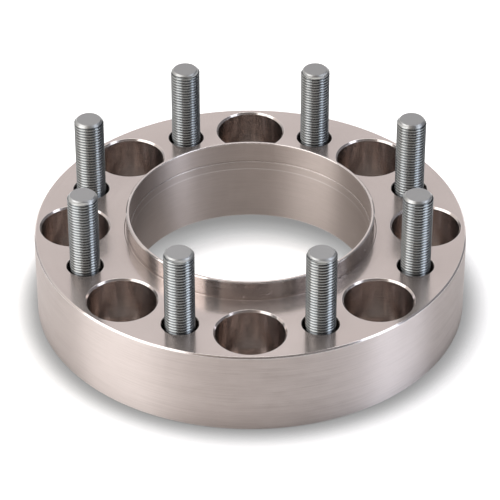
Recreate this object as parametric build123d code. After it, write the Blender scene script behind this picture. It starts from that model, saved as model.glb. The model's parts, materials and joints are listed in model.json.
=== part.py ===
from build123d import *
import os
from math import radians, tan

# All sizes in millimetres. The ring lies on its hub face, with its axis on Z.

# Bolt circle and ring body
hole_count = 8
bolt_circle_d = 165.1
ring_thickness = 41.0
rim_wall = 3.15
edge_chamfer = 0.7

# The lip's outer diameter, which centres the wheel
pilot_d = 116.7

# Wide recess in the hub face, and the wall between it and the stud heads
recess_wall = 2.05
recess_depth = 8.5
recess_chamfer = 0.5

# Raised lip and the turned relief round its foot
lip_height = 9.5
lip_wall = 1.55
lip_outer_chamfer = 0.5
lip_inner_chamfer = 0.2
relief_width = 1.1
relief_depth = 0.35

# Step and taper where the lip's inside meets the narrower bore
ledge_drop = 1.0
ledge_width = 0.35
taper_width = 0.4
taper_length = 4.0

# Lug pockets: a straight wall for the socket, a cone for the nut, a hole for the hub's stud
pocket_d = 31.8
pocket_mouth_chamfer = 0.8
seat_floor = 15.0
seat_mouth_d = 21.5
seat_cone_angle = 60.0
lug_hole_clearance = 0.9
lug_hole_chamfer = 0.8

# Stud holes: a counterbore for the head, a press bore for the knurl, a free bore above it
head_clearance = 0.75
counterbore_depth = 6.5
counterbore_chamfer = 0.5
press_bore_clearance = 0.5
press_bore_length = 14.0
free_bore_clearance = 1.5
free_bore_chamfer = 0.3

# Pressed-in wheel studs, with the same thread as the hub's own studs
thread_d = 14.0
stud_above_face = 39.5
tip_chamfer = 1.4
head_d = 22.5
head_inset = 1.0
head_chamfer = 1.0
knurl_length = 12.5
knurl_lead = 0.6
knurl_groove_count = 24
knurl_groove_depth = 0.45
knurl_groove_angle = 80.0
neck_undercut = 0.8
neck_length = 2.0

# How far a cutting tool runs past the face that it starts from
overrun = 1.0

# Radii and heights that follow from the sizes above
ring_r = (bolt_circle_d + pocket_d) / 2 + rim_wall
lip_r = pilot_d / 2
lip_inner_r = lip_r - lip_wall
lip_top = ring_thickness + lip_height
ledge_z = ring_thickness - ledge_drop
ledge_inner_r = lip_inner_r - ledge_width
bore_r = ledge_inner_r - taper_width
lug_hole_r = thread_d / 2 + lug_hole_clearance
press_bore_r = thread_d / 2 + press_bore_clearance
free_bore_r = thread_d / 2 + free_bore_clearance
counterbore_r = head_d / 2 + head_clearance
recess_r = bolt_circle_d / 2 - counterbore_r - recess_wall
press_top = counterbore_depth + press_bore_length
stud_tip = ring_thickness + stud_above_face
pitch_angle = 360 / hole_count

# The front of the object is towards -Y, and a lug pocket stands there
front_angle = -90
pocket_places = list(PolarLocations(bolt_circle_d / 2, hole_count, front_angle))
stud_places = list(PolarLocations(bolt_circle_d / 2, hole_count, front_angle + pitch_angle / 2))


def turned(outline):
    """Solid turned about Z from a closed outline of (radius, height) points."""
    return revolve(make_face(Plane.XZ * Polyline(*outline, close=True)), Axis.Z)


def ring_blank():
    """The turned ring with its recess, bore, lip and relief, before any hole is drilled."""
    relief_r = lip_r + relief_width
    relief_z = ring_thickness - relief_depth
    return turned([
        # Hub face and outside
        (recess_r + recess_chamfer, 0),
        (ring_r - edge_chamfer, 0),
        (ring_r, edge_chamfer),
        (ring_r, ring_thickness - edge_chamfer),
        (ring_r - edge_chamfer, ring_thickness),
        # Wheel face, relief and lip
        (relief_r, ring_thickness),
        (relief_r - relief_depth, relief_z),
        (lip_r, relief_z),
        (lip_r, lip_top - lip_outer_chamfer),
        (lip_r - lip_outer_chamfer, lip_top),
        (lip_inner_r + lip_inner_chamfer, lip_top),
        (lip_inner_r, lip_top - lip_inner_chamfer),
        # Ledge, taper, bore and hub recess
        (lip_inner_r, ledge_z),
        (ledge_inner_r, ledge_z),
        (bore_r, ledge_z - taper_length),
        (bore_r, recess_depth),
        (recess_r, recess_depth),
        (recess_r, recess_chamfer),
    ])


def lug_pocket():
    """Material removed for one lug nut, from the wheel face through to the hub face."""
    pocket_r = pocket_d / 2
    seat_r = seat_mouth_d / 2
    seat_depth = (seat_r - lug_hole_r) / tan(radians(seat_cone_angle / 2))
    mouth = pocket_mouth_chamfer + overrun
    foot = lug_hole_chamfer + overrun
    return turned([
        (0, -overrun),
        (lug_hole_r + foot, -overrun),
        (lug_hole_r, lug_hole_chamfer),
        (lug_hole_r, seat_floor - seat_depth),
        (seat_r, seat_floor),
        (pocket_r, seat_floor),
        (pocket_r, ring_thickness - pocket_mouth_chamfer),
        (pocket_r + mouth, ring_thickness + overrun),
        (0, ring_thickness + overrun),
    ])


def stud_hole():
    """Material removed for one stud: head counterbore, press bore and free bore."""
    foot = counterbore_chamfer + overrun
    mouth = free_bore_chamfer + overrun
    return turned([
        (0, -overrun),
        (counterbore_r + foot, -overrun),
        (counterbore_r, counterbore_chamfer),
        (counterbore_r, counterbore_depth),
        (press_bore_r, counterbore_depth),
        (press_bore_r, press_top),
        (free_bore_r, press_top),
        (free_bore_r, ring_thickness - free_bore_chamfer),
        (free_bore_r + mouth, ring_thickness + overrun),
        (0, ring_thickness + overrun),
    ])


def spacer_ring():
    """The machined ring with eight lug pockets and eight stud holes between them."""
    ring = ring_blank()
    ring -= [place * lug_pocket() for place in pocket_places]
    ring -= [place * stud_hole() for place in stud_places]
    return ring


def knurl_groove():
    """One straight V groove along the knurl, open at the knurl's crest."""
    root_r = press_bore_r - knurl_groove_depth
    height = knurl_groove_depth + overrun
    half_width = height * tan(radians(knurl_groove_angle / 2))
    groove = make_face(Polyline(
        (root_r, 0),
        (root_r + height, half_width),
        (root_r + height, -half_width),
        close=True,
    ))
    return Pos(Z=counterbore_depth) * extrude(groove, knurl_length)


def wheel_stud():
    """One stud: round head, knurl that fills the press bore, neck and threaded shank."""
    head_r = head_d / 2
    thread_r = thread_d / 2
    neck_r = thread_r - neck_undercut
    knurl_top = counterbore_depth + knurl_length
    neck_top = knurl_top + neck_length
    stud = turned([
        (0, head_inset),
        (head_r - head_chamfer, head_inset),
        (head_r, head_inset + head_chamfer),
        (head_r, counterbore_depth),
        (press_bore_r, counterbore_depth),
        (press_bore_r, knurl_top - knurl_lead),
        (press_bore_r - knurl_lead, knurl_top),
        (neck_r, knurl_top),
        (neck_r, neck_top),
        (thread_r, neck_top + neck_undercut),
        (thread_r, stud_tip - tip_chamfer),
        (thread_r - tip_chamfer, stud_tip),
        (0, stud_tip),
    ])
    stud -= [spin * knurl_groove() for spin in PolarLocations(0, knurl_groove_count)]
    return stud


os.makedirs("parts", exist_ok=True)
export_step(spacer_ring(), "parts/spacer_ring.step")
one_stud = wheel_stud()
for number, place in enumerate(stud_places, start=1):
    export_step(place * one_stud, f"parts/wheel_stud_{number}.step")
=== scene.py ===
"""Looks of the wheel spacer: a turned aluminium ring with eight pressed-in, zinc-plated studs."""

import json
from math import cos, pi, radians, sin, tan

import bmesh
import bpy
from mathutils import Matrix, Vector


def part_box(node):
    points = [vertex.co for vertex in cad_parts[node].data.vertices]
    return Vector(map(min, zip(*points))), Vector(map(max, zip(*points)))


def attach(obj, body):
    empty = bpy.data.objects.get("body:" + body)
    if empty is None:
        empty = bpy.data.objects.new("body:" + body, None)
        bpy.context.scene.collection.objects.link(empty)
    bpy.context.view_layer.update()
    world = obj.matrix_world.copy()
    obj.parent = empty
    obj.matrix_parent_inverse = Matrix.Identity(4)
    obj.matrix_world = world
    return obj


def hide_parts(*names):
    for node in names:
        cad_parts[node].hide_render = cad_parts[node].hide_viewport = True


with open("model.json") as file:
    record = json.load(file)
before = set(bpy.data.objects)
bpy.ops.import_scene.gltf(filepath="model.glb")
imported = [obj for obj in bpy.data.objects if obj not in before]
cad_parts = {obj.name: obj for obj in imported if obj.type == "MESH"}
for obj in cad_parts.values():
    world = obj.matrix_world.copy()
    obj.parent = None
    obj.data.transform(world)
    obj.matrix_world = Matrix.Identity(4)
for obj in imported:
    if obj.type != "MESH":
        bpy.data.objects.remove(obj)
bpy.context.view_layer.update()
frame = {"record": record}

MM = 0.001

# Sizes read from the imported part, in metres
mounts = {mount["name"]: mount for mount in frame["record"]["mounts"]}
_, ring_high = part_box("spacer_ring")
stud_low, stud_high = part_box("wheel_stud_1")
ring_r = ring_high.x
lip_top = ring_high.z
face_z = mounts["wheel_face"]["pos_m"][2]
recess_r = mounts["hub_recess"]["dims"]["r_mm"] * MM
bore_r = mounts["hub_nose_bore"]["dims"]["r_mm"] * MM
lip_inner_r = mounts["lip_bore"]["dims"]["r_mm"] * MM
lip_r = mounts["wheel_pilot_lip"]["dims"]["r_mm"] * MM
hole_count = mounts["vehicle_stud_holes"]["dims"]["count"]
bolt_circle_r = mounts["vehicle_stud_holes"]["dims"]["pcd_mm"] / 2 * MM
lug_hole_r = mounts["vehicle_stud_holes"]["dims"]["hole_r_mm"] * MM
thread_r = mounts["wheel_studs"]["dims"]["stud_r_mm"] * MM
head_r = (stud_high.x - stud_low.x) / 2
head_foot = stud_low.z
stud_tip = stud_high.z

# Turned form of the ring, as in the part's source
edge_chamfer = 0.7 * MM
recess_depth = 8.5 * MM
recess_chamfer = 0.5 * MM
lip_outer_chamfer = 0.5 * MM
lip_inner_chamfer = 0.2 * MM
relief_width = 1.1 * MM
relief_depth = 0.35 * MM
ledge_drop = 1.0 * MM
ledge_width = 0.35 * MM
taper_length = 4.0 * MM

# Lug pockets
pocket_r = 15.9 * MM
pocket_mouth_chamfer = 0.8 * MM
seat_floor = 15.0 * MM
seat_mouth_r = 10.75 * MM
seat_half_angle = radians(30)
lug_hole_chamfer = 0.8 * MM

# Stud holes
head_clearance = 0.75 * MM
counterbore_r = head_r + head_clearance
counterbore_depth = 6.5 * MM
counterbore_chamfer = 0.5 * MM
press_bore_clearance = 0.5 * MM
press_bore_r = thread_r + press_bore_clearance
press_bore_length = 14.0 * MM
press_top = counterbore_depth + press_bore_length
free_bore_clearance = 1.5 * MM
free_bore_r = thread_r + free_bore_clearance
free_bore_chamfer = 0.3 * MM

# Studs
tip_chamfer = 1.4 * MM
bevel_foot = stud_tip - tip_chamfer
head_chamfer = 1.0 * MM
knurl_length = 12.5 * MM
knurl_top = counterbore_depth + knurl_length
knurl_lead = 0.6 * MM
knurl_groove_count = 24
knurl_groove_depth = 0.45 * MM
knurl_half_angle = radians(40)
neck_undercut = 0.8 * MM
neck_r = thread_r - neck_undercut
neck_length = 2.0 * MM
neck_top = knurl_top + neck_length

# Metric thread: its depth is a fixed share of its pitch, and its corners are eased a little
thread_pitch = 1.5 * MM
thread_depth = 0.6134 * thread_pitch
thread_root_r = thread_r - thread_depth
thread_ease = 0.06 * MM

# One turn of the thread, the same on both sides of the crest: share of the pitch from the crest's middle
crest_end = 0.045
flank_start = 0.085
flank_end = 0.360
root_start = 0.440
THREAD_SHAPE = (
    (-crest_end, thread_r),
    (crest_end, thread_r),
    (flank_start, thread_r - thread_ease),
    (flank_end, thread_root_r + thread_ease),
    (root_start, thread_root_r),
    (1 - root_start, thread_root_r),
    (1 - flank_end, thread_root_r + thread_ease),
    (1 - flank_start, thread_r - thread_ease),
)

# Places round the bolt circle: a pocket at the front, and the studs half a step further on. Each stud
# was pressed in at its own turn, so their threads start at different places.
FRONT_ANGLE = radians(-90)
POCKET_OFFSET = 0.0
STUD_OFFSET = 0.5
STUD_TURN = radians(105)

# Fineness of the meshes; an eased corner takes up at most a share of the runs beside it
RING_STEPS = 384
POCKET_STEPS = 96
HOLE_STEPS = 64
CORNER_STEPS = 2
CORNER_R = 0.15 * MM
CORNER_SHARE = 0.45
WEAR_REACH = 0.5 * MM
MERGE_DISTANCE = 0.0005 * MM
SHARP_ANGLE = radians(30)
GROOVE_POINTS = 3
SPARE_TURNS = 3

# Finishes of the ring, in the order of its mesh's materials. Roughness is that of the tool rings' smooth
# crests and of their torn grooves. Stretch is how far highlights are drawn out across the rings. The more
# arcs, the shorter the stretches that each ring is broken into. Recess shade is the share of a dark, warm
# tone painted on as shade inside the pockets, stud holes and bore.
FINISHES = {
    "turned_aluminium": {
        "roughness": (0.46, 0.54), "stretch": 0.98, "ring": 0.30 * MM, "arcs": 1.3,
        "ring_height": 0.003 * MM, "streak_share": 0.6, "recess_shade": 0.0, "metallic": 1.0,
    },
    "faced_aluminium": {
        "roughness": (0.13, 0.20), "stretch": 0.45, "ring": 0.05 * MM, "arcs": 500,
        "ring_height": 0.00003 * MM, "streak_share": 0.1, "recess_shade": 0.0, "metallic": 0.84,
    },
    "polished_aluminium": {
        "roughness": (0.15, 0.24), "stretch": 0.95, "ring": 0.20 * MM, "arcs": 1.3,
        "ring_height": 0.0006 * MM, "streak_share": 0.2, "recess_shade": 0.0, "metallic": 1.0,
    },
    "bored_aluminium": {
        "roughness": (0.18, 0.23), "stretch": 0.90, "ring": 0.20 * MM, "arcs": 1.3,
        "ring_height": 0.0004 * MM, "streak_share": 0.15, "recess_shade": 0.15, "metallic": 1.0,
    },
    "honed_aluminium": {
        "roughness": (0.51, 0.57), "stretch": 0.98, "ring": 0.30 * MM, "arcs": 1.3,
        "ring_height": 0.002 * MM, "streak_share": 0.35, "recess_shade": 0.25, "metallic": 1.0,
    },
}
TURNED, FACED, POLISHED, BORED, HONED = range(len(FINISHES))

# Middle part of a noise's range, over which most of its marks go from one extreme to the other
NOISE_SPAN = (0.3, 0.7)

# Aluminium: its colours, and the marks that all its finishes share. A span is the part of a noise's
# range over which that mark appears.
ALUMINIUM_PALE = (0.59, 0.53, 0.505, 1.0)
ALUMINIUM_DEEP = (0.55, 0.49, 0.465, 1.0)
ALUMINIUM_STREAK = (0.49, 0.435, 0.41, 1.0)
# Painted shade: a dark, warm tone laid on the pockets, stud holes and bore
ALUMINIUM_RECESS_SHADE = (0.34, 0.25, 0.19, 1.0)
ALUMINIUM_WORN = (0.70, 0.66, 0.64, 1.0)
WALL_RING_SPREAD = 1.7
RING_SPAN = (0.42, 0.58)
BROAD_RING = 1.8 * MM
BROAD_ARCS = 0.8
BROAD_SPAN = (0.4, 0.7)
BROAD_SHARE = 0.3
BROAD_HEIGHT = 2
STREAK_RING = 0.8 * MM
STREAK_ARCS = 5.0
STREAK_SPAN = (0.45, 0.75)
STREAK_ROUGHNESS = 0.03
PATCH_SCALE = 30.0
PATCH_ROUGHNESS = 0.01
SCUFF_SCALE = 260.0
SCUFF_SPAN = (0.45, 0.8)
SCUFF_FINENESS = 0.65
SCUFF_ROUGHNESS = 0.05
WORN_SHARE = 0.5
WORN_SMOOTHING = 0.03
ACROSS_THE_TANGENT = 0.25

# Zinc plating: its colours, and the marks on it. Its darkest colour is painted shade, in the thread's roots
# and on the shank down in its hole. Root and crest spans go from the thread's root, 0, to its crest, 1.
ZINC_PALE = (0.31, 0.325, 0.325, 1.0)
ZINC_DEEP = (0.25, 0.265, 0.27, 1.0)
ZINC_WARM = (0.32, 0.315, 0.29, 1.0)
# Painted shade: the darkest zinc colour, laid in the thread's roots and on the shank in its hole
ZINC_SHADE = (0.11, 0.117, 0.122, 1.0)
ZINC_CREST = (0.44, 0.45, 0.45, 1.0)
ZINC_WORN = (0.42, 0.425, 0.42, 1.0)
ZINC_END = (0.27, 0.27, 0.272, 1.0)
CLOUD_SCALE = 70.0
CLOUD_SPAN = (0.35, 0.65)
TINT_SCALE = 28.0
TINT_SPAN = (0.45, 0.7)
TINT_SHARE = 0.5
GRAIN_SCALE = 2600.0
GRAIN_HEIGHT = 0.001 * MM
GRAIN_ROUGHNESS = (-0.02, 0.04)
PLATING_ROUGHNESS = (0.14, 0.22)
# Painted shade in the thread's roots: where it reaches, and how much of the darkest colour it lays on
ROOT_SHADE_SPAN = (0.3, 0.75)
ROOT_SHADE_SHARE = 0.9
ROOT_ROUGH_SPAN = (0.0, 0.5)
ROOT_ROUGHNESS = 0.10
CREST_SPAN = (0.85, 1.0)
CREST_SHARE = 0.5
BEVEL_ROUGHNESS = 0.12
END_ROUGHNESS = 0.10
END_SKIN = 0.01 * MM
# Painted shade on the shank in its hole: its share, and the heights where it fades out at the face and
# above the press bore
HOLE_SHADE_SHARE = 0.9
HOLE_SHADE_TOP = (face_z - 0.2 * MM, face_z + 0.3 * MM)
HOLE_SHADE_FOOT = (press_top, press_top + 1.0 * MM)

# Floor: its tone and lift, and how far its painted shadow and the painted darker edge of its lift reach
# from a wall's foot. The lift grows towards the middle of the ring, between the two radii of its inside
# edge: painted light.
FLOOR_SIDE = 16.0
FLOOR_Z = -0.1 * MM
FLOOR_TONE = 0.82
FLOOR_LIFT = 0.45
INSIDE_LIFT = 1.3
INSIDE_EDGE = (0.7 * bore_r, recess_r)
SHADOW_REACH = 18.0 * MM
SHADOW_TONE = 0.12
CONTACT_REACH = 9.5 * MM
CONTACT_TONE = 0.60
SKY_SAMPLES = 8
SKY_SPAN = (0.45, 0.98)
SKY_POWER = 2.0
WHITE = (1.0, 1.0, 1.0)

# Lamps: name, azimuth and elevation in degrees, width and height in metres, brightness, colour
LAMP_DISTANCE = 1.8
LAMPS = (
    ("key_lamp", -67, 34, 1.4, 2.0, 2.2, WHITE),
    ("low_side_lamp", 75, 11, 1.0, 0.65, 2.9, (0.88, 0.96, 1.10)),
    ("high_side_lamp", 72, 44, 0.5, 1.3, 2.7, (0.90, 0.97, 1.09)),
    ("back_lamp", 180, 66, 1.5, 0.75, 3.5, WHITE),
)

# Room: colours of its walls by azimuth in degrees, and the elevations between which its parts meet
FOOT_TO_WALLS = (12, 26)
WALLS_TO_CEILING = (64, 76)
ROOM_CEILING = (1.20, 1.15, 1.09)
ROOM_FOOT_STRENGTH = 1.4
ROOM_FOOT = (
    (-170, (0.54, 0.52, 0.52)),
    (-140, (0.27, 0.27, 0.28)),
    (-105, (0.48, 0.47, 0.48)),
    (-75, (0.58, 0.57, 0.58)),
    (-45, (0.84, 0.77, 0.74)),
    (-15, (1.00, 0.89, 0.83)),
    (15, (0.74, 0.67, 0.65)),
    (45, (0.62, 0.62, 0.67)),
    (75, (0.50, 0.52, 0.60)),
    (105, (0.22, 0.22, 0.24)),
    (135, (0.10, 0.10, 0.11)),
    (160, (0.28, 0.28, 0.29)),
)
ROOM_WALLS = (
    (-178, (0.91, 0.87, 0.87)),
    (-152, (0.80, 0.77, 0.77)),
    (-120, (1.20, 1.12, 1.06)),
    (-60, (0.62, 0.58, 0.56)),
    (-38, (0.48, 0.42, 0.38)),
    (-18, (0.20, 0.165, 0.15)),
    (0, (0.10, 0.08, 0.07)),
    (36, (0.16, 0.15, 0.15)),
    (62, (0.18, 0.18, 0.20)),
    (84, (0.20, 0.20, 0.24)),
    (104, (0.16, 0.16, 0.18)),
    (138, (0.10, 0.10, 0.11)),
    (154, (0.42, 0.42, 0.43)),
    (170, (0.91, 0.87, 0.87)),
)

# Camera: its focal length in pixels of the image, and the point it looks at
IMAGE_SIDE = 500
CAMERA_FOCAL_PIXELS = 2803.0
CAMERA_SENSOR = 36.0
CAMERA_LENS = CAMERA_FOCAL_PIXELS / IMAGE_SIDE * CAMERA_SENSOR
CAMERA_ELEVATION = 35.52
CAMERA_DISTANCE = 1.3208
CAMERA_TARGET_Z = 0.04064
CAMERA_AIM_RIGHT = -0.00014
CAMERA_AIM_UP = -0.01097


def rounded(corners):
    """Outline with its corners eased, as (radius, height, normal, wear, finish) points.

    A corner is (radius, height, finish of the run that starts there). The normal points to the right of
    the way along the outline. Wear is 1 on corners that stand out, and 0 on corners that lie within and
    along the long stretches between corners. The first and last points stay as they are.
    """
    spots = [Vector(corner[:2]) for corner in corners]
    finishes = [corner[2] for corner in corners]
    runs = [b - a for a, b in zip(spots, spots[1:])]
    ways = [run.normalized() for run in runs]
    points = [(spots[0], ways[0], 0.0, finishes[0])]
    for index in range(1, len(spots) - 1):
        before, after = ways[index - 1], ways[index]
        turn = before.angle_signed(after)
        longest = CORNER_SHARE * min(runs[index - 1].length, runs[index].length)
        reach = min(CORNER_R * tan(abs(turn) / 2), longest)
        corner = spots[index]
        start = corner - before * reach
        end = corner + after * reach
        previous = points[-1][0]
        if (start - previous).length > 2 * WEAR_REACH:
            points.append((previous + before * WEAR_REACH, before, 0.0, finishes[index - 1]))
            points.append((start - before * WEAR_REACH, before, 0.0, finishes[index - 1]))
        stands_out = before.cross(after) > 0
        for step in range(CORNER_STEPS + 1):
            share = step / CORNER_STEPS
            # A quadratic curve is near enough to an arc at this size
            spot = start * (1 - share) ** 2 + corner * 2 * share * (1 - share) + end * share ** 2
            way = before.lerp(after, share).normalized()
            finish = FACED if stands_out and step < CORNER_STEPS else finishes[index]
            points.append((spot, way, float(stands_out), finish))
    points.append((spots[-1], ways[-1], 0.0, finishes[-1]))
    return [(spot.x, spot.y, Vector((way.y, -way.x)), wear, finish) for spot, way, wear, finish in points]


class Shell:
    """A mesh in the making.

    Its vertices keep exact normals and their wear, and its faces keep the axis that they turn about.
    """

    def __init__(self):
        self.bm = bmesh.new()
        self.normal = self.bm.verts.layers.float_vector.new("outline_normal")
        self.wear = self.bm.verts.layers.float.new("wear")
        self.axis = self.bm.faces.layers.float_vector.new("turning_axis")

    def vertex(self, x, y, z, normal, wear):
        vert = self.bm.verts.new((x, y, z))
        vert[self.normal] = normal
        vert[self.wear] = wear
        return vert

    def turn(self, outline, steps, centre=(0.0, 0.0)):
        """Turns an outline about an upright axis, and returns its first and last loops of vertices."""
        loops = []
        for radius, height, (out, up), wear, finish in outline:
            loop = []
            for step in range(steps):
                angle = 2 * pi * step / steps
                normal = (out * cos(angle), out * sin(angle), up)
                x = centre[0] + radius * cos(angle)
                y = centre[1] + radius * sin(angle)
                loop.append(self.vertex(x, y, height, normal, wear))
            loops.append(loop)
        for index in range(len(outline) - 1):
            finish = outline[index][4]
            self.join(loops[index], loops[index + 1], finish, centre)
        return loops[0], loops[-1]

    def join(self, low, high, finish, centre):
        """Faces between two closed loops with as many vertices."""
        for i in range(len(low)):
            j = (i + 1) % len(low)
            face = self.bm.faces.new((low[i], low[j], high[j], high[i]))
            face[self.axis] = (centre[0], centre[1], 0.0)
            face.material_index = finish

    def fill(self, loops):
        """A flat face between the first loop and the others, which lie inside it."""
        edges = []
        for loop in loops:
            for i in range(len(loop)):
                edges.append(self.bm.edges.get((loop[i - 1], loop[i])))
        filled = bmesh.ops.triangle_fill(self.bm, edges=edges, use_beauty=True)
        for face in filled["geom"]:
            if isinstance(face, bmesh.types.BMFace):
                face.material_index = FACED

    def finish(self, name):
        """The finished mesh, with its outline's normals."""
        bmesh.ops.recalc_face_normals(self.bm, faces=self.bm.faces)
        mesh = bpy.data.meshes.new(name)
        self.bm.to_mesh(mesh)
        self.bm.free()
        normals = [item.vector.copy() for item in mesh.attributes["outline_normal"].data]
        mesh.attributes.remove(mesh.attributes["outline_normal"])
        mesh.polygons.foreach_set("use_smooth", [True] * len(mesh.polygons))
        mesh.normals_split_custom_set_from_vertices(normals)
        return mesh


def place(mesh, name, body, replaced, spot=(0.0, 0.0, 0.0), turn=0.0):
    """Puts a mesh in the scene as a piece that stands for a CAD node."""
    piece = bpy.data.objects.new(name, mesh)
    bpy.context.scene.collection.objects.link(piece)
    piece.location = spot
    piece.rotation_euler.z = turn
    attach(piece, body)
    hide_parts(replaced)


def circle_place(index, offset):
    """Centre of hole number index on the bolt circle, counted from the front, in metres."""
    angle = FRONT_ANGLE + 2 * pi * (index + offset) / hole_count
    return bolt_circle_r * cos(angle), bolt_circle_r * sin(angle)


def ring_mesh():
    """The turned ring: outside, lip and bore, with eight lug pockets and eight stud holes."""
    shell = Shell()
    outside = rounded([
        (ring_r - edge_chamfer - WEAR_REACH, 0, FACED),
        (ring_r - edge_chamfer, 0, FACED),
        (ring_r, edge_chamfer, TURNED),
        (ring_r, face_z - edge_chamfer, FACED),
        (ring_r - edge_chamfer, face_z, FACED),
        (ring_r - edge_chamfer - WEAR_REACH, face_z, FACED),
    ])
    relief_r = lip_r + relief_width
    relief_z = face_z - relief_depth
    ledge_z = face_z - ledge_drop
    ledge_inner_r = lip_inner_r - ledge_width
    inside = rounded([
        (relief_r + WEAR_REACH, face_z, FACED),
        (relief_r, face_z, FACED),
        (relief_r - relief_depth, relief_z, FACED),
        (lip_r, relief_z, POLISHED),
        (lip_r, lip_top - lip_outer_chamfer, FACED),
        (lip_r - lip_outer_chamfer, lip_top, FACED),
        (lip_inner_r + lip_inner_chamfer, lip_top, FACED),
        (lip_inner_r, lip_top - lip_inner_chamfer, HONED),
        (lip_inner_r, ledge_z, HONED),
        (ledge_inner_r, ledge_z, HONED),
        (bore_r, ledge_z - taper_length, HONED),
        (bore_r, recess_depth, FACED),
        (recess_r, recess_depth, TURNED),
        (recess_r, recess_chamfer, FACED),
        (recess_r + recess_chamfer, 0, FACED),
        (recess_r + recess_chamfer + WEAR_REACH, 0, FACED),
    ])
    seat_foot = seat_floor - (seat_mouth_r - lug_hole_r) / tan(seat_half_angle)
    pocket = rounded([
        (pocket_r + pocket_mouth_chamfer + WEAR_REACH, face_z, FACED),
        (pocket_r + pocket_mouth_chamfer, face_z, FACED),
        (pocket_r, face_z - pocket_mouth_chamfer, BORED),
        (pocket_r, seat_floor, FACED),
        (seat_mouth_r, seat_floor, BORED),
        (lug_hole_r, seat_foot, BORED),
        (lug_hole_r, lug_hole_chamfer, FACED),
        (lug_hole_r + lug_hole_chamfer, 0, FACED),
        (lug_hole_r + lug_hole_chamfer + WEAR_REACH, 0, FACED),
    ])
    stud_hole = rounded([
        (free_bore_r + free_bore_chamfer + WEAR_REACH, face_z, FACED),
        (free_bore_r + free_bore_chamfer, face_z, FACED),
        (free_bore_r, face_z - free_bore_chamfer, BORED),
        (free_bore_r, press_top, BORED),
        (press_bore_r, press_top, BORED),
        (press_bore_r, counterbore_depth, BORED),
        (counterbore_r, counterbore_depth, BORED),
        (counterbore_r, counterbore_chamfer, FACED),
        (counterbore_r + counterbore_chamfer, 0, FACED),
        (counterbore_r + counterbore_chamfer + WEAR_REACH, 0, FACED),
    ])
    foot, top = shell.turn(outside, RING_STEPS)
    lip_loop, recess_loop = shell.turn(inside, RING_STEPS)
    wheel_side = [top, lip_loop]
    hub_side = [foot, recess_loop]
    for index in range(hole_count):
        for outline, steps, offset in (
            (pocket, POCKET_STEPS, POCKET_OFFSET),
            (stud_hole, HOLE_STEPS, STUD_OFFSET),
        ):
            high, low = shell.turn(outline, steps, circle_place(index, offset))
            wheel_side.append(high)
            hub_side.append(low)
    shell.fill(wheel_side)
    shell.fill(hub_side)
    return shell.finish("turned_ring")


def stud_angles():
    """Angles round a stud: the two edges and the middle of each knurl groove."""
    half = knurl_groove_depth * tan(knurl_half_angle) / press_bore_r
    angles = []
    for index in range(knurl_groove_count):
        middle = 2 * pi * index / knurl_groove_count
        angles += [middle - half, middle, middle + half]
    return angles


def thread_radius(radius, z):
    """Radius of a thread's point at a height, cut by its lead-in from the neck and by the tip's bevel."""
    if z <= neck_top:
        return neck_r
    return min(radius, neck_r + (z - neck_top), thread_r - (z - bevel_foot))


def stud_mesh():
    """Mesh of one stud about its own axis: head, knurl, neck, rolled thread and bevelled tip."""
    bm = bmesh.new()
    angles = stud_angles()
    count = len(angles)
    groove_r = press_bore_r - knurl_groove_depth
    tip_r = thread_r - tip_chamfer

    def loop(radius, z, grooved=False):
        """One closed loop of vertices, pulled in to groove_r in the middle of each knurl groove."""
        verts = []
        for i, angle in enumerate(angles):
            in_groove = grooved and i % GROOVE_POINTS == 1
            r = min(radius, groove_r) if in_groove else radius
            verts.append(bm.verts.new((r * cos(angle), r * sin(angle), z)))
        return verts

    def join(low, high):
        for i in range(count):
            j = (i + 1) % count
            bm.faces.new((low[i], low[j], high[j], high[i]))

    foot = [
        loop(head_r / 2, head_foot),
        loop(head_r - head_chamfer, head_foot),
        loop(head_r, head_foot + head_chamfer),
        loop(head_r, counterbore_depth),
        loop(press_bore_r, counterbore_depth, grooved=True),
        loop(press_bore_r, knurl_top - knurl_lead, grooved=True),
        loop(press_bore_r - knurl_lead, knurl_top, grooved=True),
        loop(neck_r, knurl_top),
        loop(neck_r, neck_top),
    ]
    tip = [
        loop(tip_r, stud_tip),
        loop(tip_r - CORNER_R, stud_tip),
        loop(tip_r / 2, stud_tip),
    ]
    for loops in (foot, tip):
        for low, high in zip(loops, loops[1:]):
            join(low, high)
    bm.faces.new(reversed(foot[0]))
    bm.faces.new(tip[-1])
    turned_faces = set(bm.faces)

    # The thread's rows climb one pitch a turn, so the last column meets the first one a turn further up.
    # Spare turns at both ends are pressed flat on the neck's top and on the tip, and merge there.
    per_turn = len(THREAD_SHAPE)
    turns = int((stud_tip - neck_top) / thread_pitch) + SPARE_TURNS
    columns = []
    for angle in angles:
        column = []
        for row in range(turns * per_turn):
            share, radius = THREAD_SHAPE[row % per_turn]
            height = neck_top + (row // per_turn - 1 + share + angle / (2 * pi)) * thread_pitch
            z = min(max(height, neck_top), stud_tip)
            r = thread_radius(radius, z)
            column.append(bm.verts.new((r * cos(angle), r * sin(angle), z)))
        columns.append(column)
    for i, column in enumerate(columns):
        following = columns[i + 1] if i + 1 < count else columns[0][per_turn:]
        for row in range(min(len(column), len(following)) - 1):
            bm.faces.new((column[row], following[row], following[row + 1], column[row + 1]))

    # Thread flanks are shaded round, as a rolled thread is, and every other edge keeps its corner
    for face in bm.faces:
        face.smooth = True
    rolled = set()
    for face in bm.faces:
        if face not in turned_faces and face.calc_center_median().z < bevel_foot:
            rolled.add(face)
    bmesh.ops.remove_doubles(bm, verts=bm.verts, dist=MERGE_DISTANCE)
    bmesh.ops.recalc_face_normals(bm, faces=bm.faces)
    for edge in bm.edges:
        if not all(face in rolled for face in edge.link_faces):
            edge.smooth = edge.calc_face_angle(0.0) < SHARP_ANGLE
    mesh = bpy.data.meshes.new("wheel_stud")
    bm.to_mesh(mesh)
    bm.free()
    return mesh


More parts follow.
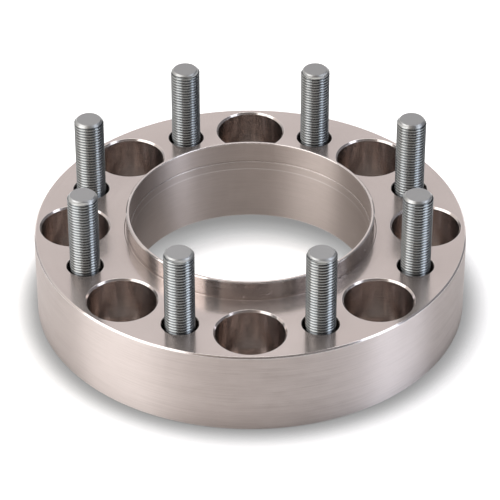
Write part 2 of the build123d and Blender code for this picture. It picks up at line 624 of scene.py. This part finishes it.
class Nodes:
    """A material's or the world's node tree, with short calls that add nodes and return their outputs."""

    def __init__(self, owner):
        owner.use_nodes = True
        self.tree = owner.node_tree
        self.tree.nodes.clear()

    def put(self, socket, value):
        """Links an output to a socket, or sets the socket to a plain number or vector."""
        if isinstance(value, bpy.types.NodeSocket):
            self.tree.links.new(value, socket)
        else:
            socket.default_value = value

    def add(self, kind, inputs=None, **settings):
        """A node of a kind, with its settings, and its inputs given by name or by number."""
        node = self.tree.nodes.new("ShaderNode" + kind)
        for name, value in settings.items():
            setattr(node, name, value)
        for key, value in (inputs or {}).items():
            self.put(node.inputs[key], value)
        return node

    def math(self, operation, *values):
        return self.add("Math", dict(enumerate(values)), operation=operation).outputs[0]

    def vector(self, operation, *values):
        node = self.add("VectorMath", dict(enumerate(values)), operation=operation)
        return node.outputs["Value" if operation == "LENGTH" else "Vector"]

    def noise(self, vector, scale, detail, roughness=0.5):
        inputs = {"Vector": vector, "Scale": scale, "Detail": detail, "Roughness": roughness}
        return self.add("TexNoise", inputs).outputs[0]

    def spread(self, value, low, high, to_low=0.0, to_high=1.0):
        """The value mapped from one range to another, and held at its ends."""
        inputs = {0: value, 1: low, 2: high, 3: to_low, 4: to_high}
        return self.add("MapRange", inputs).outputs[0]

    def total(self, first, *others):
        """The sum of its values."""
        for other in others:
            first = self.math("ADD", first, other)
        return first

    def colour(self, factor, first, second):
        """A mix of two colours; the factor is the share of the second one."""
        node = self.add("Mix", data_type="RGBA")
        for name, value in (("Factor_Float", factor), ("A_Color", first), ("B_Color", second)):
            socket = next(s for s in node.inputs if s.identifier == name)
            self.put(socket, value)
        return next(s for s in node.outputs if s.identifier == "Result_Color")

    def bump(self, height, distance, normal=None):
        inputs = {"Height": height, "Distance": distance, "Strength": 1.0}
        if normal is not None:
            inputs["Normal"] = normal
        return self.add("Bump", inputs).outputs[0]

    def output(self, shader, kind="OutputMaterial"):
        self.add(kind, {"Surface": shader})


def aluminium(name, roughness, stretch, ring, arcs, ring_height, streak_share, recess_shade, metallic):
    """Machined aluminium with fine tool rings round whichever axis each face was turned about."""
    material = bpy.data.materials.new(name)
    nodes = Nodes(material)
    position = nodes.add("TexCoord").outputs["Object"]
    axis = nodes.add("Attribute", attribute_name="turning_axis").outputs["Vector"]
    wear = nodes.add("Attribute", attribute_name="wear").outputs["Fac"]
    from_axis = nodes.vector("MULTIPLY", nodes.vector("SUBTRACT", position, axis), (1.0, 1.0, 0.0))
    radius = nodes.vector("LENGTH", from_axis)
    outward = nodes.vector("NORMALIZE", from_axis)
    around = nodes.vector("CROSS_PRODUCT", (0.0, 0.0, 1.0), outward)
    height = nodes.add("SeparateXYZ", {0: position}).outputs["Z"]

    # One coordinate that runs across the rings, on walls and flats alike
    across = nodes.math("ADD", radius, nodes.math("MULTIPLY", height, WALL_RING_SPREAD))
    ring_place = nodes.add("CombineXYZ", {"Z": across}).outputs[0]

    def rings(spacing, round_scale):
        """Noise that is drawn out round the axis, with rings about so far apart."""
        ring_number = nodes.vector("MULTIPLY", ring_place, (0.0, 0.0, 1.0 / spacing))
        spot = nodes.vector("MULTIPLY_ADD", outward, (round_scale,) * 3, ring_number)
        return nodes.noise(spot, 1.0, detail=2.0)

    fine = rings(ring, arcs)
    broad = rings(BROAD_RING, BROAD_ARCS)
    streaks = rings(STREAK_RING, STREAK_ARCS)
    patches = nodes.noise(position, PATCH_SCALE, detail=2.0)
    scuffs = nodes.noise(position, SCUFF_SCALE, detail=4.0, roughness=SCUFF_FINENESS)

    tone = nodes.colour(nodes.spread(patches, *NOISE_SPAN), ALUMINIUM_DEEP, ALUMINIUM_PALE)
    broad_tone = nodes.spread(broad, *BROAD_SPAN, 0.0, BROAD_SHARE)
    tone = nodes.colour(broad_tone, tone, ALUMINIUM_DEEP)
    streak_tone = nodes.spread(streaks, *STREAK_SPAN, 0.0, streak_share)
    tone = nodes.colour(streak_tone, tone, ALUMINIUM_STREAK)
    # Painted shade, by the finish's share, on the faces inside the pockets, holes and bore
    tone = nodes.colour(recess_shade, tone, ALUMINIUM_RECESS_SHADE)
    tone = nodes.colour(nodes.math("MULTIPLY", wear, WORN_SHARE), tone, ALUMINIUM_WORN)

    smooth, torn = roughness
    streak_rough = STREAK_ROUGHNESS * streak_share
    rough = nodes.total(
        nodes.spread(fine, *RING_SPAN, smooth, torn),
        nodes.spread(streaks, *NOISE_SPAN, -streak_rough, streak_rough),
        nodes.spread(scuffs, *SCUFF_SPAN, 0.0, SCUFF_ROUGHNESS),
        nodes.spread(patches, *NOISE_SPAN, -PATCH_ROUGHNESS, PATCH_ROUGHNESS),
        nodes.math("MULTIPLY", wear, -WORN_SMOOTHING),
    )

    normal = nodes.bump(fine, ring_height)
    normal = nodes.bump(broad, ring_height * BROAD_HEIGHT, normal)
    shader = nodes.add("BsdfPrincipled", {
        "Base Color": tone,
        "Metallic": metallic,
        "Roughness": rough,
        "Anisotropic": stretch,
        "Anisotropic Rotation": ACROSS_THE_TANGENT,
        "Tangent": around,
        "Normal": normal,
    })
    nodes.output(shader.outputs[0])
    return material


def zinc_plating():
    """Zinc-plated steel: cool grey, with painted shade in the thread's roots, bright on its crests, dull on
    the sawn end.

    The shank has painted shade where it stands in its hole.
    """
    material = bpy.data.materials.new("zinc_plating")
    nodes = Nodes(material)
    own_place = nodes.add("TexCoord").outputs["Object"]
    position = nodes.add("NewGeometry").outputs["Position"]
    radius = nodes.vector("LENGTH", nodes.vector("MULTIPLY", own_place, (1.0, 1.0, 0.0)))
    height = nodes.add("SeparateXYZ", {0: own_place}).outputs["Z"]
    crest = nodes.spread(radius, thread_root_r, thread_r)
    bevelled = nodes.math("GREATER_THAN", height, bevel_foot)
    end = nodes.math("GREATER_THAN", height, stud_tip - END_SKIN)
    below_face = nodes.spread(height, *HOLE_SHADE_TOP, HOLE_SHADE_SHARE, 0.0)
    hole_shade = nodes.math("MULTIPLY", nodes.spread(height, *HOLE_SHADE_FOOT), below_face)
    clouds = nodes.noise(position, CLOUD_SCALE, detail=3.0)
    tint = nodes.noise(position, TINT_SCALE, detail=1.0)
    grain = nodes.noise(position, GRAIN_SCALE, detail=2.0)

    tone = nodes.colour(nodes.spread(clouds, *CLOUD_SPAN), ZINC_DEEP, ZINC_PALE)
    tone = nodes.colour(nodes.spread(tint, *TINT_SPAN, 0.0, TINT_SHARE), tone, ZINC_WARM)
    # Painted shade in the thread's roots
    tone = nodes.colour(nodes.spread(crest, *ROOT_SHADE_SPAN, ROOT_SHADE_SHARE, 0.0), tone, ZINC_SHADE)
    tone = nodes.colour(nodes.spread(crest, *CREST_SPAN, 0.0, CREST_SHARE), tone, ZINC_CREST)
    # Painted shade on the shank down in its hole
    tone = nodes.colour(hole_shade, tone, ZINC_SHADE)
    tone = nodes.colour(bevelled, tone, ZINC_WORN)
    tone = nodes.colour(end, tone, ZINC_END)

    rough = nodes.total(
        nodes.spread(clouds, *NOISE_SPAN, *PLATING_ROUGHNESS),
        nodes.spread(crest, *ROOT_ROUGH_SPAN, ROOT_ROUGHNESS, 0.0),
        nodes.spread(grain, *NOISE_SPAN, *GRAIN_ROUGHNESS),
        nodes.math("MULTIPLY", bevelled, BEVEL_ROUGHNESS),
        nodes.math("MULTIPLY", end, END_ROUGHNESS),
    )
    shader = nodes.add("BsdfPrincipled", {
        "Base Color": tone,
        "Metallic": 1.0,
        "Roughness": rough,
        "Normal": nodes.bump(grain, GRAIN_HEIGHT),
    })
    nodes.output(shader.outputs[0])
    return material


def pale_floor():
    """White floor that keeps the object's shadow, with a painted shadow deepening it close to the walls,
    and can't be seen from underneath.

    Its lift is a little stronger inside the ring, where less light falls: painted light.
    """
    material = bpy.data.materials.new("pale_floor")
    nodes = Nodes(material)
    path = nodes.add("LightPath").outputs
    seen = nodes.math("MAXIMUM", path["Is Camera Ray"], path["Is Glossy Ray"])
    seen = nodes.math("MAXIMUM", seen, path["Is Transmission Ray"])
    geometry = nodes.add("NewGeometry").outputs

    def clear_of_walls(reach, share):
        """Share that is left of a tone at the foot of a wall, and 1 further away than reach: painted shadow
        from ambient occlusion.
        """
        sky = nodes.add("AmbientOcclusion", {"Distance": reach}, samples=SKY_SAMPLES).outputs["AO"]
        rise = nodes.math("POWER", nodes.spread(sky, *SKY_SPAN), SKY_POWER)
        return nodes.spread(rise, 0.0, 1.0, share, 1.0)

    # Painted shadow: the floor's tone darkens close to walls
    tone = nodes.math("MULTIPLY", clear_of_walls(SHADOW_REACH, SHADOW_TONE), FLOOR_TONE)
    grey = nodes.add("CombineColor", {0: tone, 1: tone, 2: tone}).outputs[0]
    matt = nodes.add("BsdfDiffuse", {"Color": grey}).outputs[0]

    # Painted shade in the glow as well, close to walls
    lift = nodes.math("MULTIPLY", clear_of_walls(CONTACT_REACH, CONTACT_TONE), FLOOR_LIFT)
    from_middle = nodes.vector("LENGTH", geometry["Position"])
    # Painted light: the glow is stronger inside the ring
    lift = nodes.math("MULTIPLY", lift, nodes.spread(from_middle, *INSIDE_EDGE, INSIDE_LIFT, 1.0))
    strength = nodes.math("MULTIPLY", seen, lift)
    glow = nodes.add("Emission", {"Color": (*WHITE, 1.0), "Strength": strength}).outputs[0]

    lit = nodes.add("AddShader", {0: matt, 1: glow}).outputs[0]
    clear = nodes.add("BsdfTransparent").outputs[0]
    nodes.output(nodes.add("MixShader", {0: geometry["Backfacing"], 1: lit, 2: clear}).outputs[0])
    return material


def direction(azimuth, elevation):
    """Unit vector towards an azimuth, from the front and to the right, and an elevation, in degrees."""
    a, e = radians(azimuth), radians(elevation)
    return Vector((sin(a) * cos(e), -cos(a) * cos(e), sin(e)))


def surroundings():
    """A soft room: a band of pale wall near the floor, quieter walls above it, and a pale ceiling."""
    world = bpy.data.worlds.new("studio_room")
    bpy.context.scene.world = world
    nodes = Nodes(world)
    way = nodes.add("TexCoord").outputs["Generated"]
    x, y, z = nodes.add("SeparateXYZ", {0: way}).outputs
    turn = nodes.math("ARCTAN2", x, nodes.math("MULTIPLY", y, -1.0))
    share = nodes.spread(turn, -pi, pi)

    def wall(tones):
        """Colour of the walls by azimuth."""
        ramp = nodes.add("ValToRGB", {0: share})
        ramp.color_ramp.interpolation = "B_SPLINE"
        stops = ramp.color_ramp.elements
        while len(stops) > 1:
            stops.remove(stops[-1])
        for index, (azimuth, tone) in enumerate(tones):
            spot = (azimuth + 180.0) / 360.0
            stop = stops[0] if index == 0 else stops.new(spot)
            stop.position = spot
            stop.color = (*tone, 1.0)
        return ramp.outputs[0]

    def risen(elevations):
        """0 below the first elevation, 1 above the second one."""
        low, high = elevations
        return nodes.spread(z, sin(radians(low)), sin(radians(high)))

    foot = nodes.vector("SCALE", wall(ROOM_FOOT))
    foot.node.inputs["Scale"].default_value = ROOM_FOOT_STRENGTH
    colour = nodes.colour(risen(FOOT_TO_WALLS), foot, wall(ROOM_WALLS))
    colour = nodes.colour(risen(WALLS_TO_CEILING), colour, (*ROOM_CEILING, 1.0))
    background = nodes.add("Background", {"Color": colour, "Strength": 1.0})
    nodes.output(background.outputs[0], "OutputWorld")


def soft_lamp(name, azimuth, elevation, width, height, brightness, colour):
    """A large lamp that faces the object; brightness 1 is that of white paper in plain light."""
    lamp = bpy.data.lights.new(name, "AREA")
    lamp.shape = "RECTANGLE"
    lamp.size, lamp.size_y = width, height
    lamp.energy = brightness * pi * width * height
    lamp.color = colour
    holder = bpy.data.objects.new(name, lamp)
    bpy.context.scene.collection.objects.link(holder)
    way = direction(azimuth, elevation)
    holder.location = Vector((0, 0, lip_top / 2)) + way * LAMP_DISTANCE
    holder.rotation_euler = way.to_track_quat("Z", "Y").to_euler()
    holder.visible_camera = False


def stage():
    """Floor, room, lamps and camera."""
    mesh = bpy.data.meshes.new("floor")
    half = FLOOR_SIDE / 2
    corners = [(x * half, y * half, FLOOR_Z) for x, y in ((-1, -1), (1, -1), (1, 1), (-1, 1))]
    mesh.from_pydata(corners, [], [(0, 1, 2, 3)])
    mesh.materials.append(pale_floor())
    floor = bpy.data.objects.new("floor", mesh)
    bpy.context.scene.collection.objects.link(floor)
    surroundings()
    for lamp in LAMPS:
        soft_lamp(*lamp)

    camera = bpy.data.cameras.new("camera")
    camera.lens = CAMERA_LENS
    camera.sensor_width = CAMERA_SENSOR
    holder = bpy.data.objects.new("camera", camera)
    bpy.context.scene.collection.objects.link(holder)
    back = direction(0, CAMERA_ELEVATION)
    right = Vector((1, 0, 0))
    up = back.cross(right)
    aim = Vector((0, 0, CAMERA_TARGET_Z)) + right * CAMERA_AIM_RIGHT + up * CAMERA_AIM_UP
    holder.location = aim + back * CAMERA_DISTANCE
    holder.rotation_euler = back.to_track_quat("Z", "Y").to_euler()
    bpy.context.scene.camera = holder


turned_ring = ring_mesh()
for name, finish in FINISHES.items():
    turned_ring.materials.append(aluminium(name, **finish))
place(turned_ring, "turned_ring", "root", "spacer_ring")

threaded_stud = stud_mesh()
threaded_stud.materials.append(zinc_plating())
for number in range(1, hole_count + 1):
    x, y = circle_place(number - 1, STUD_OFFSET)
    name = f"threaded_stud_{number}"
    node = f"wheel_stud_{number}"
    place(threaded_stud, name, "root", node, (x, y, 0.0), STUD_TURN * number)

stage()
bpy.context.scene.view_settings.view_transform = "Standard"
